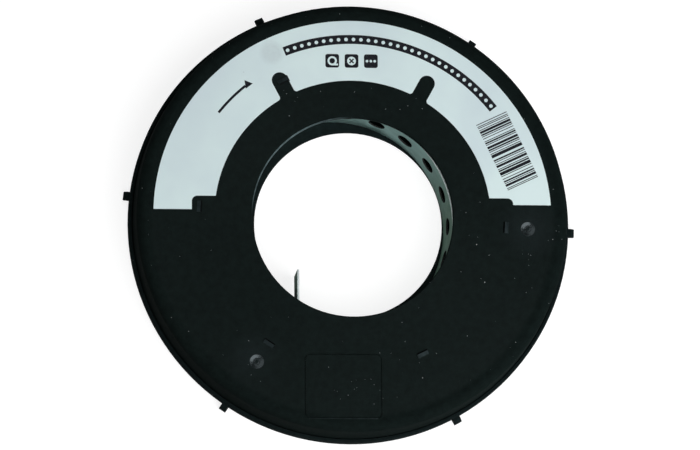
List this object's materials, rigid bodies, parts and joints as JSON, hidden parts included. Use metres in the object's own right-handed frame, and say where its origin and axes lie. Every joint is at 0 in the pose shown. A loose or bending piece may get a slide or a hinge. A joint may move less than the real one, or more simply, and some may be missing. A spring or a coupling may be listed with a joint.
{
  "type": "perforated steel strap in dispenser cassette",
  "caption": "Coil of zinc-plated perforated steel strap in a flat round two-part plastic cassette; the bent free end stands in the bore, where the strap is drawn out.",
  "frame": {"origin": "on the disc's axis, in the plane of the back face", "axes": "+Z along the disc's axis, out of the labelled face; +Y towards the top of the label, +X to the right in the picture"},
  "size_m": [0.1777, 0.1734, 0.0212],
  "materials": {
    "back_plastic": "moulded black plastic, fine matt grain",
    "front_plastic": "moulded black plastic, satin",
    "label_film": "pale blue-grey film label, satin",
    "zinc_steel": "zinc-plated steel, dull satin"
  },
  "bodies": {
    "cassette": {"back_shell": "back_plastic", "front_shell": "front_plastic", "label": "label_film"},
    "coil": {"strap": "zinc_steel"}
  },
  "joints": [
    {"name": "coil_turn", "type": "hinge", "parent": "cassette", "child": "coil", "pos_m": [0, 0, 0], "axis": [0, 0, 1], "continuous": true}
  ]
}
